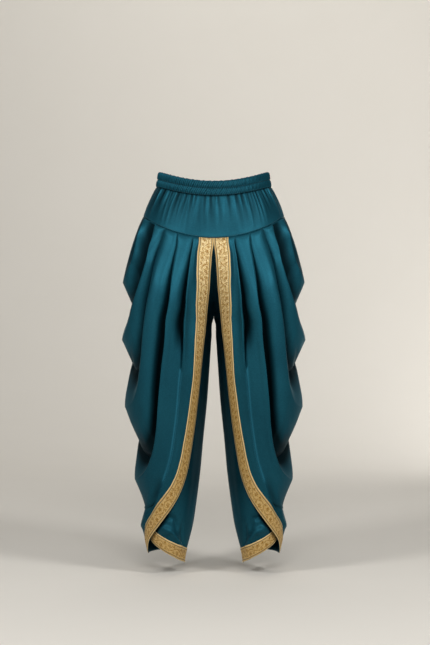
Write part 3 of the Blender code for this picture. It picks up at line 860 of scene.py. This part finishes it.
def drape_grid():
    """All points of one drape, in rows along its folds, its own edge last, and their painted shade."""
    share = drape_shares()
    paths = [fold_path(fold, share) for fold in FOLDS]
    lifts = [fold_lift(fold, share) for fold in FOLDS]
    top_angle = COWL_START + (180 - 2 * COWL_START) * share
    top = np.stack((top_angle, yoke_seam(top_angle)), axis=-1)
    rows = top_rows(top, paths[0], lifts[0], share)
    for number in range(len(FOLDS) - 1):
        rows += cowl_rows(paths[number], paths[number + 1], lifts[number], lifts[number + 1],
                          FOLDS[number], share)
    rows += edge_rows(share, paths[-1], lifts[-1], edge_path(share))
    angle = np.array([path[:, 0] for path, _ in rows])
    height = np.array([path[:, 1] for path, _ in rows])
    lift = np.array([lift for _, lift in rows])
    start = (yoke_seam(angle[:, 0]) - height[:, 0])[:, None]
    end = (yoke_seam(angle[:, -1]) - height[:, -1])[:, None]
    height = height + start * ease(1 - share / SEATED_SHARE)
    height = height + end * ease(1 - (1 - share) / SEATED_SHARE)
    lift = creased(angle, height, lift, DRAPE_CREASES)
    # painted shade: cloth lying deeper than the ridges within a few rows of it is painted darker
    ridge = lift.copy()
    for step in range(1, DEPTH_REACH + 1):
        ridge[step:] = np.maximum(ridge[step:], lift[:-step])
        ridge[:-step] = np.maximum(ridge[:-step], lift[step:])
    hollow = (ridge - lift) / (ridge + DEPTH_SOFT)
    depth = FOLD_PAINTED_SHADE * ease((hollow - DEPTH_START) / (DEPTH_END - DEPTH_START))
    # painted shade on the flank beside the first fold, in front and behind, fading at the outer side
    turned = np.minimum(angle, 180 - angle)
    first = paths[0][:len(share) // 2]
    gap = turned - np.interp(-height, -first[:, 1], first[:, 0])
    shade = (FLANK_SHADE * ease((gap - FLANK_START) / FLANK_SOFT)
             * ease((FLANK_END - turned) / FLANK_FADE))
    depth[:TOP_ROWS] = np.maximum(depth, shade)[:TOP_ROWS]
    return on_form(angle, height - SEAM_GAP, lift), depth


drape, drape_painted_shade = drape_grid()
drapes = make_pair("drape", drape, drape_painted_shade, satin)

# %% [markdown]
# ## The front panels
#
# Inside each drape lies a plain front panel, from the yoke seam down to its own hem. Little of it
# shows: a dark wedge between the two borders, the inner leg, and its hem with a border of its
# own, where the cloth fills out over the foot and catches the light. Its shade is real and also
# painted: darkest high in the wedge, less down the inner leg, more under the drape's edge, and
# fading out at the hem.

# %% Front panels
PANEL_INSET = 0.0060
PANEL_TOP_INSET = 0.0032
PANEL_OVERLAP = 25
PANEL_TUCK = 0.010
TUCK_END, TUCK_FADE = -0.90, 0.06
# painted shade of the panel: high in the wedge, lower down, and under the drape's edge
PANEL_SHADE = 0.80
PANEL_SHADE_LOW = 0.35
PANEL_SHADE_DEEP = 0.7
SHADE_HIGH, SHADE_HIGH_FADE = -0.52, 0.22
SHADE_LOW, SHADE_LOW_FADE = -0.86, 0.10
SHADE_DEEP, SHADE_DEEP_FADE, SHADE_DEEP_TURN = -0.93, 0.04, 9
PANEL_LIMIT = 74
PANEL_COLUMNS = 56
PANEL_ROWS = 120
PANEL_STRIP_ROWS = 6
PANEL_CROWDING = 1.25
PANEL_EASE = 0.35
PANEL_TRIES = 8
PANEL_HEM = ((-90, -0.979), (-45, -0.966), (0, -0.948), (55, -0.922), (80, -0.912))
PANEL_CREASES = (
    Crease(((-55, -0.36), (-62, -0.50), (-60, -0.72), (-58, -0.86)), 0.012, -0.0010),
    Crease(((36, -0.870), (12, -0.852), (-12, -0.858), (-24, -0.886)), 0.0065, -0.0090),
    Crease(((36, -0.884), (14, -0.887), (-6, -0.896)), 0.010, 0.0060),
    Crease(((22, -0.878), (-8, -0.894), (-30, -0.918), (-58, -0.950)), 0.0100, 0.0060),
    Crease(((12, -0.880), (-10, -0.893), (-30, -0.916), (-54, -0.946)), 0.0045, 0.0080),
    Crease(((-34, -0.870), (-42, -0.905), (-58, -0.938)), 0.006, -0.0040),
)


def edge_angle(height):
    """Angle of the drape's front edge at each height."""
    path = edge_front()
    return np.interp(-height, -path[:, 1], path[:, 0])


def panel_grid():
    """Points of one front panel, from the yoke seam down to the strip of its hem, and their painted
    shade.
    """
    hem = np.array(PANEL_HEM)
    depths = []
    across = np.linspace(0, 1, PANEL_COLUMNS + 1) ** PANEL_CROWDING
    even = np.linspace(0, 1, PANEL_ROWS + 1)
    drops = even + (ease(even) - even) * PANEL_EASE
    below = np.linspace(0, 1, PANEL_STRIP_ROWS + 1)[1:]
    rows = []
    for drop, strip in [(drop, 0.0) for drop in drops] + [(1.0, place) for place in below]:
        angle = -45 + 0 * across
        inset = PANEL_TOP_INSET + (PANEL_INSET - PANEL_TOP_INSET) * ease(drop * 4)
        for _ in range(PANEL_TRIES):
            bottom = np.interp(angle, hem[:, 0], hem[:, 1])
            top = yoke_seam(angle) - 2 * SEAM_GAP
            height = top + (bottom + BORDER_WIDTH - top) * drop - BORDER_WIDTH * strip
            at_centre = ease((height - CROTCH) / 0.03)
            inner = -inner_turn(height, inset * at_centre)
            outer = np.minimum(edge_angle(height) + PANEL_OVERLAP, PANEL_LIMIT)
            angle = inner + (outer - inner) * across
        tuck = PANEL_TUCK * ease(across * 3 - 2) * ease((height - TUCK_END) / TUCK_FADE)
        inset = inset * np.maximum(ease(across / 0.3), at_centre) + tuck
        crease = creased(angle, height, 0 * across, PANEL_CREASES) * ease(across / 0.12)
        rows.append(on_form(angle, height, crease - inset))
        # painted shade: darkest high in the wedge, less down the inner leg, more under the drape's edge
        high = (PANEL_SHADE - PANEL_SHADE_LOW) * ease((height - SHADE_HIGH) / SHADE_HIGH_FADE)
        low = PANEL_SHADE_LOW * ease((height - SHADE_LOW) / SHADE_LOW_FADE)
        under = PANEL_SHADE_DEEP * ease(1 - (edge_angle(height) - angle) / SHADE_DEEP_TURN)
        depths.append(np.maximum(low + high, under * ease((height - SHADE_DEEP) / SHADE_DEEP_FADE)))
    return np.array(rows), np.array(depths)


panel, panel_painted_shade = panel_grid()
panels = make_pair("front_panel", panel, panel_painted_shade, satin)

# %% [markdown]
# ## The yokes
#
# The yoke is gathered into the waistband, so its top is full of small uneven puckers that fade
# out downwards. No two are the same: each has its own place, width, depth, length and lean, drawn
# from a seeded generator, so the piece looks hand sewn and comes out the same on every run.

# %% Places round the waist
WAIST_HALF_WIDTH = 0.1395
WAIST_FRONT = 0.099
WAIST_BACK = 0.103
BAND_TOP = 0.0187
BAND_HEIGHT = 0.0374
BAND_TAPER = 0.006
FRONT_DIP = 0.030
BACK_DIP = 0.014


def waist_points(angle, drop, lift):
    """Points round the waist, at a drop below the waistband's top and a lift off its form."""
    turn = np.radians(angle)
    depth = np.where(np.cos(turn) > 0, WAIST_FRONT, WAIST_BACK)
    dip = np.where(np.cos(turn) > 0, FRONT_DIP, BACK_DIP) * np.cos(turn) ** 2
    wider = lift + BAND_TAPER * drop / BAND_HEIGHT
    x = (WAIST_HALF_WIDTH + wider) * np.sin(turn)
    y = -(depth + wider) * np.cos(turn)
    return np.stack((x, y, BAND_TOP - dip - drop + 0 * x), axis=-1)


print("waist, outer side and back:", waist_points(np.array((90.0, 180.0)), 0, 0).round(3).tolist())


# %% Yokes
YOKE_GATHERS = 56
YOKE_GATHER_DEPTH = 0.0026
YOKE_SEEDS = {"front": 11, "back": 12}
GATHER_JITTER = 1.8
# painted shade: how dark the hollows between the puckers are painted
YOKE_SHADE = 1.0
YOKE_FULLNESS = 1.35
YOKE_TURN = 74
YOKE_COLUMNS = 300
YOKE_ROWS = 34


def gathers(turn, place, seed):
    """Puckers of a yoke: their height at each turn in degrees and each place down the yoke."""
    chance = np.random.default_rng(seed)
    centres = np.linspace(1.05 * turn[0], 1.05 * turn[-1], YOKE_GATHERS)
    centres = centres + chance.uniform(-GATHER_JITTER, GATHER_JITTER, YOKE_GATHERS)
    total = np.zeros((len(place), len(turn)))
    for centre in centres:
        width = chance.uniform(0.8, 1.7)
        depth = chance.uniform(0.35, 1.0)
        reach = chance.uniform(0.35, 1.25)
        lean = chance.uniform(-2.0, 2.0)
        shift = centre + lean * place[:, None]
        fade = np.exp(-(place / reach) ** 2 * 2.0) * ease(place / 0.06 + 0.5)
        widen = width * (1 + 0.9 * place[:, None])
        total += depth * fade[:, None] * np.exp(-((turn[None, :] - shift) / widen) ** 2)
    return total


def yoke_grid(front):
    """Points of the front or back yoke, from one side seam to the other, and painted shade in its
    puckers.
    """
    reach = YOKE_TURN if front else 180 - YOKE_TURN
    turn = np.linspace(-reach, reach, YOKE_COLUMNS + 1)
    turn[[0, -1]] += np.degrees(SEAM_GAP / WAIST_FRONT) * np.array((1, -1))
    angle = np.abs(turn) if front else 180 - np.abs(turn)
    side = np.sign(turn)[:, None] * (1, 0, 0) + (0, 1, 1)
    top = waist_points(angle, BAND_HEIGHT + SEAM_GAP, 0.0)
    height = yoke_seam(angle) + SEAM_GAP
    bottom = on_form(angle, height, 0.0)
    bottom[np.abs(turn) < 0.3, 0] = 0.0
    outward = np.stack((np.sin(np.radians(angle)), -np.cos(np.radians(angle)), 0 * angle), axis=-1)
    place = np.linspace(0, 1, YOKE_ROWS + 1)
    pucker = gathers(turn, place, YOKE_SEEDS["front" if front else "back"]) - 0.35
    pucker = pucker * ease((reach - np.abs(turn)) / 5) * YOKE_GATHER_DEPTH
    rows = []
    for number, down in enumerate(place):
        swell = 1 - (1 - down) ** YOKE_FULLNESS
        flat = between(top, bottom, swell)
        flat[:, 2] = between(top[:, 2], bottom[:, 2], down)
        fade = ease((1 - down) / 0.15) * 0.8 + 0.2 * (1 - down)
        rows.append((flat + outward * (pucker[number] * fade)[:, None]) * side)
    # painted shade in the hollows between puckers, fading downwards
    shade = YOKE_SHADE * np.clip(0.55 - pucker / YOKE_GATHER_DEPTH, 0, 1) * (1 - place[:, None]) ** 0.7
    return np.array(rows), shade


yoke_front, front_painted_shade = yoke_grid(True)
yoke_back, back_painted_shade = yoke_grid(False)
yokes = {"front": make_cloth("yoke_front_satin", yoke_front, satin),
         "back": make_cloth("yoke_back_satin", yoke_back[:, ::-1], satin)}
give_painted_shade(yokes["front"], front_painted_shade)
give_painted_shade(yokes["back"], back_painted_shade[:, ::-1])

# %% [markdown]
# ## The waistband
#
# Two rows of elastic pull the casing into many fine gathers. Each channel puffs out between its
# lines of stitching, and the gathers lean a little because the sewing machine drags the cloth.
# A sum of a few waves of different lengths makes them uneven, and the rim ripples with them.

# %% Waistband
BAND_PUFF = 0.0022
BAND_WALL = 0.0020
BAND_GATHERS = 156
GATHER_DEPTH = 0.0014
BAND_LEAN = 22.0
BAND_LEAN_MORE = 14.0
RIM_RIPPLE = 0.0006
# painted shade: in the hollows of the gathers, and along the seams and inside
BAND_SHADE = 0.90
SEAM_SHADE = 0.5
BAND_COLUMNS = 1248
Ring = namedtuple("Ring", "drop puff gather inside")
BAND_RINGS = (
    Ring(-0.01, 0.05, 0.3, 0.5), Ring(0.01, 0.35, 0.7, 0.0), Ring(0.05, 0.70, 1.0, 0.0),
    Ring(0.12, 0.92, 1.0, 0.0), Ring(0.20, 1.00, 1.0, 0.0), Ring(0.29, 0.98, 1.0, 0.0),
    Ring(0.38, 0.82, 1.0, 0.0), Ring(0.44, 0.52, 0.9, 0.0), Ring(0.48, 0.14, 0.5, 0.0),
    Ring(0.50, 0.00, 0.3, 0.0), Ring(0.52, 0.14, 0.5, 0.0), Ring(0.56, 0.50, 0.9, 0.0),
    Ring(0.63, 0.84, 1.0, 0.0), Ring(0.72, 1.00, 1.0, 0.0), Ring(0.81, 0.98, 1.0, 0.0),
    Ring(0.90, 0.78, 1.0, 0.0), Ring(0.96, 0.42, 0.9, 0.0), Ring(1.00, 0.00, 0.4, 0.0),
    Ring(1.00, 0.00, 0.0, 1.0), Ring(0.75, 0.00, 0.3, 1.0), Ring(0.50, 0.00, 0.0, 1.0),
    Ring(0.25, 0.00, 0.3, 1.0), Ring(0.01, 0.00, 0.0, 1.0),
)


def band_grid():
    """Rings of the waistband: two gathered channels outside, a plain inside, and their painted shade."""
    angle = np.arange(BAND_COLUMNS) * 360 / BAND_COLUMNS
    turn = np.radians(angle)
    lean = BAND_LEAN + BAND_LEAN_MORE * np.sin(turn)
    ripple = np.sin(turn * 61) * 0.6 + np.sin(turn * 97 + 1.0) * 0.4
    rings = []
    depths = []
    for ring in BAND_RINGS:
        phase = turn * BAND_GATHERS + lean * ring.drop
        gather = np.sin(phase + 0.8 * np.sin(turn * 23)) + np.sin(turn * 71 - 1.3 + 4 * ring.drop) * 0.22
        drop = ring.drop * BAND_HEIGHT - RIM_RIPPLE * ripple * ease(1 - ring.drop / 0.15)
        lift = ring.puff * BAND_PUFF + ring.gather * gather * GATHER_DEPTH - ring.inside * BAND_WALL
        rings.append(waist_points(angle, drop, lift))
        # painted shade in the gathers' hollows, along the stitched lines, at the top rim and on the
        # inside
        crease = BAND_SHADE * np.clip(0.30 - 0.70 * gather, 0, 1) * ring.gather
        depths.append(crease + SEAM_SHADE * ease(1 - ring.puff * 3))
    return np.array(rings), np.clip(depths, 0, 1)


band_rings, band_painted_shade = band_grid()
band = make_cloth("waistband_satin", band_rings, satin, wall=0, ring=True)
give_painted_shade(band, band_painted_shade)

# %% [markdown]
# ## The borders
#
# A border lies on the sheet that it edges, so its points are that sheet's own last rows, moved
# out by a hair. It can't drift off the edge, whatever the folds do. The strip is joined at the
# corner of the hem, where the front edge turns into the back hem.

# %% Borders
BORDER_GAP = 0.0004
BORDER_WALL = 0.0009
share = drape_shares()
corner = int(np.argmin(np.abs(share - 0.5)))
inseam = int(np.argmin(np.abs(share - BACK_HEM_SHARE)))
strip = (drape + outward_of(drape) * BORDER_GAP)[-STRIP_ROWS:]
hem = (panel + outward_of(panel) * BORDER_GAP)[-PANEL_STRIP_ROWS - 1:]
strip_across = np.linspace(0, BORDER_WIDTH, STRIP_ROWS)[:, None]
hem_across = np.linspace(0, BORDER_WIDTH, PANEL_STRIP_ROWS + 1)[:, None]


def trimmed(piece, end):
    """A strip cut back by a seam's gap at one end."""
    piece = piece.copy()
    beside = 1 if end == 0 else -2
    step = piece[:, beside] - piece[:, end]
    piece[:, end] += step / np.linalg.norm(step, axis=1)[:, None] * SEAM_GAP
    return piece


def make_border(name, grid, across, sign):
    return make_cloth(name, grid, brocade, sign, BORDER_WALL, 1.0, across=across + 0 * grid[:, :, 0])


borders = {}
for side_name, sign in SIDES:
    for place, grid, grid_across in (("front", trimmed(strip[:, :corner + 1], -1), strip_across),
                                     ("back", strip[:, corner:inseam + 1], strip_across),
                                     ("hem", hem, hem_across)):
        name = f"border_{place}_{side_name}"
        borders[name] = make_border(name + "_brocade", grid, grid_across, sign)

# %% [markdown]
# ## Stitches
#
# Thread is what repeats most on a garment. A small Geometry Nodes tree lays one short thread
# after another along any line: it makes the line a curve, walks it in even steps, and sets a long
# bead of thread at each step, turned along it. The lines come from the grids above, so each seam
# is sewn just where it is.

# %% Stitch tree
STITCH_STEP = 0.0034
STITCH_LENGTH = 0.0023
STITCH_WIDTH = 0.00055


def make_stitch_tree(name, thread):
    """A tree that sews threads along the edges of a mesh."""
    tree = bpy.data.node_groups.new(name, "GeometryNodeTree")
    tree.interface.new_socket("Lines", in_out="INPUT", socket_type="NodeSocketGeometry")
    for label in ("Step", "Length", "Width"):
        tree.interface.new_socket(label, in_out="INPUT", socket_type="NodeSocketFloat")
    tree.interface.new_socket("Stitches", in_out="OUTPUT", socket_type="NodeSocketGeometry")
    nodes = tree.nodes
    start = nodes.new("NodeGroupInput")
    end = nodes.new("NodeGroupOutput")
    curve = nodes.new("GeometryNodeMeshToCurve")
    walk = nodes.new("GeometryNodeResampleCurve")
    walk.mode = "LENGTH"
    thread_shape = nodes.new("GeometryNodeMeshUVSphere")
    thread_shape.inputs["Segments"].default_value = 6
    thread_shape.inputs["Rings"].default_value = 4
    thread_shape.inputs["Radius"].default_value = 0.5
    tangent = nodes.new("GeometryNodeInputTangent")
    turned = nodes.new("FunctionNodeAlignRotationToVector")
    turned.axis = "X"
    size = nodes.new("ShaderNodeCombineXYZ")
    sewn = nodes.new("GeometryNodeInstanceOnPoints")
    smooth = nodes.new("GeometryNodeSetShadeSmooth")
    real = nodes.new("GeometryNodeRealizeInstances")
    finish = nodes.new("GeometryNodeSetMaterial")
    finish.inputs["Material"].default_value = thread
    wires = (
        (start, "Lines", curve, "Mesh"), (curve, "Curve", walk, "Curve"),
        (start, "Step", walk, "Length"), (walk, "Curve", sewn, "Points"),
        (thread_shape, "Mesh", sewn, "Instance"), (tangent, "Tangent", turned, "Vector"),
        (turned, "Rotation", sewn, "Rotation"), (start, "Length", size, "X"),
        (start, "Width", size, "Y"), (start, "Width", size, "Z"), (size, "Vector", sewn, "Scale"),
        (sewn, "Instances", smooth, "Geometry"), (smooth, "Geometry", real, "Geometry"),
        (real, "Geometry", finish, "Geometry"), (finish, "Geometry", end, "Stitches"),
    )
    for source, output, target, socket in wires:
        tree.links.new(source.outputs[output], target.inputs[socket])
    return tree


print("a thread of", STITCH_LENGTH * 1000, "mm every", STITCH_STEP * 1000, "mm")


# %% Sewing along lines
def sew(name, lines, thread):
    """Stitches along each line of points, as one plain mesh."""
    mesh = bpy.data.meshes.new(name + "_lines")
    points = np.concatenate(lines)
    edges = []
    first = 0
    for line in lines:
        edges += [(first + number, first + number + 1) for number in range(len(line) - 1)]
        first += len(line)
    mesh.from_pydata(points.tolist(), edges, [])
    guide = bpy.data.objects.new(name + "_guide", mesh)
    bpy.context.scene.collection.objects.link(guide)
    tree = make_stitch_tree(name, thread)
    sewing = guide.modifiers.new("sewing", "NODES")
    sewing.node_group = tree
    sockets = {item.name: item.identifier for item in tree.interface.items_tree}
    for label, value in (("Step", STITCH_STEP), ("Length", STITCH_LENGTH), ("Width", STITCH_WIDTH)):
        sewing[sockets[label]] = value
    ready = guide.evaluated_get(bpy.context.evaluated_depsgraph_get())
    plain = bpy.data.meshes.new_from_object(ready)
    plain.name = name
    bpy.data.objects.remove(guide, do_unlink=True)
    piece = bpy.data.objects.new(name, plain)
    bpy.context.scene.collection.objects.link(piece)
    print(name, len(lines), "lines,", len(plain.polygons), "faces")
    return piece


# %% Thread and its lines
LINE_PLACE = 0.0044
SEWN_RINGS = (9, 16)


def make_thread(name, colour):
    finish = Finish(name, colour, 0.55, 0.0, {"Sheen Weight": 0.2})
    ply = finish.spot(2500.0, 1.0)
    shadow = tuple(value * 0.6 for value in colour) + (1.0,)
    return finish.use({"Base Color": finish.mix(ply, shadow, (*colour, 1.0)),
                       "Roughness": 0.5 + ply * 0.2})


def line_on(grid, across, lift):
    """A line that runs along a grid of strips at a share of the way across it, lifted off it."""
    place = across * (len(grid) - 1)
    row = min(int(place), len(grid) - 2)
    points = grid[row] + (grid[row + 1] - grid[row]) * (place - row)
    return points + outward_of(grid)[row] * lift


gold_thread = make_thread("border_thread", (0.075, 0.055, 0.040))
seam_thread = make_thread("seam_thread", (0.006, 0.050, 0.070))
border_lines = []
seam_lines = []
on_border = BORDER_WALL + STITCH_WIDTH * 0.2
for sign in (1, -1):
    side = (sign, 1, 1)
    for grid in (strip[:, :inseam + 1], hem):
        for place in (LINE_PLACE / BORDER_WIDTH, 1 - LINE_PLACE / BORDER_WIDTH):
            border_lines.append(line_on(grid, place, on_border) * side)
for number in SEWN_RINGS:
    ring = band_rings[number]
    centre = ring * (0, 0, 1)
    out = (ring - centre) / np.linalg.norm(ring - centre, axis=1)[:, None]
    line = ring + out * STITCH_WIDTH * 0.25
    seam_lines.append(np.vstack((line, line[:1])))
for yoke, side in ((yoke_front, 1), (yoke_back, -1)):
    normal = outward_of(yoke) * side
    seam_lines.append(yoke[-2] + normal[-2] * STITCH_WIDTH * 0.1)
border_stitches = sew("border_stitches", border_lines, gold_thread)
seam_stitches = sew("seam_stitches", seam_lines, seam_thread)

# %% [markdown]
# ## Every piece on its body
#
# The trousers have no joint, so every piece rides on the one body. Each cloth piece takes the
# place of its solid, which is hidden.


# %% Rides on the body
def settle(piece, slot, *nodes):
    """The piece rides on the body and stands for its nodes; its slot is not used."""
    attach(piece, "root")
    if nodes:
        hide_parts(*nodes)


for side_name in ("left", "right"):
    settle(drapes[side_name], "satin", "drape_" + side_name)
    settle(panels[side_name], "satin", "front_panel_" + side_name)
    for strip_name in ("border_front_", "border_back_", "border_hem_"):
        settle(borders[strip_name + side_name], "brocade", strip_name + side_name)
settle(yokes["front"], "satin", "yoke_front")
settle(yokes["back"], "satin", "yoke_back")
settle(band, "satin", "waistband")
settle(border_stitches, "brocade")
settle(seam_stitches, "satin")

# %% [markdown]
# ## Studio
#
# The trousers are photographed filled out, just above a pale floor that runs up into the
# background with no edge. Wide soft lamps give satin its long soft highlights, and two more light
# the wall behind.

# %% Floor and backdrop
FLOOR = -1.004
WALL = 4.9
SWEEP_RADIUS = 2.2


def make_sweep():
    """A pale floor that curves up into a wall."""
    turn = np.radians(np.linspace(0, 90, 25))
    foot = WALL - SWEEP_RADIUS
    profile = [(-6.0, FLOOR), (foot, FLOOR)]
    profile += [(WALL - SWEEP_RADIUS * (1 - np.sin(t)), FLOOR + SWEEP_RADIUS * (1 - np.cos(t)))
                for t in turn[1:]]
    profile += [(WALL, 5.0)]
    across = np.linspace(-7, 7, 3)
    points = np.array([[(x, y, z) for x in across] for y, z in profile])
    finish = Finish("studio_paper", (0.79, 0.765, 0.72), 0.9, 0.0)
    grain = finish.spot(3.0)
    finish.use({"Base Color": finish.mix(grain, (0.78, 0.755, 0.705, 1.0), (0.80, 0.775, 0.73, 1.0))})
    sweep = make_cloth("studio_sweep", points, finish.material, wall=0)


make_sweep()


# %% Lamps
def make_lamp(name, place, target, size, power, colour):
    """A soft rectangular lamp at a place, facing its target."""
    lamp = bpy.data.lights.new(name, "AREA")
    lamp.shape = "RECTANGLE"
    lamp.size, lamp.size_y = size
    lamp.energy = power
    lamp.color = colour
    holder = bpy.data.objects.new(name, lamp)
    bpy.context.scene.collection.objects.link(holder)
    holder.location = place
    holder.rotation_euler = (Vector(target) - Vector(place)).to_track_quat("-Z", "Y").to_euler()


Lamp = namedtuple("Lamp", "name place target size power colour")
LAMPS = (
    Lamp("key", (0.15, -3.3, 1.55), (0, 0, -0.35), (1.4, 0.8), 46, (1.0, 0.985, 0.96)),
    Lamp("left", (-2.4, -2.6, 1.80), (0, 0, -0.30), (0.9, 1.0), 56, (1.0, 0.985, 0.96)),
    Lamp("right", (2.5, -2.6, 1.80), (0, 0, -0.30), (0.9, 1.0), 66, (1.0, 0.985, 0.96)),
    Lamp("top", (0.1, -0.6, 2.2), (0, 0.1, -0.4), (1.2, 0.8), 7, (1.0, 0.98, 0.95)),
    Lamp("wall_light", (0.2, 2.6, 3.0), (0.2, 4.9, -0.3), (4.0, 0.8), 50, (1.0, 0.975, 0.93)),
    Lamp("low_light", (2.1, 2.6, -0.1), (1.3, 4.9, -0.6), (0.8, 0.8), 17, (1.0, 0.975, 0.94)),
)
for row in LAMPS:
    make_lamp(*row)
print("lamps:", {row.name: row.power for row in LAMPS})

world = bpy.data.worlds.new("studio")
bpy.context.scene.world = world
world.use_nodes = True
world.node_tree.nodes["Background"].inputs[0].default_value = (1.0, 0.97, 0.92, 1.0)
world.node_tree.nodes["Background"].inputs[1].default_value = 0.10

bpy.context.scene.view_settings.view_transform = "Standard"

# %% Camera
CAMERA_PLACE = (0.0032, -3.9, -0.365)
camera_data = bpy.data.cameras.new("camera")
camera_data.lens = 85
camera_data.sensor_width = 36
camera = bpy.data.objects.new("camera", camera_data)
bpy.context.scene.collection.objects.link(camera)
camera.location = CAMERA_PLACE
camera.rotation_euler = (np.pi / 2, 0, 0)
bpy.context.scene.camera = camera
print("camera at", CAMERA_PLACE, "with a lens of", camera_data.lens, "mm")
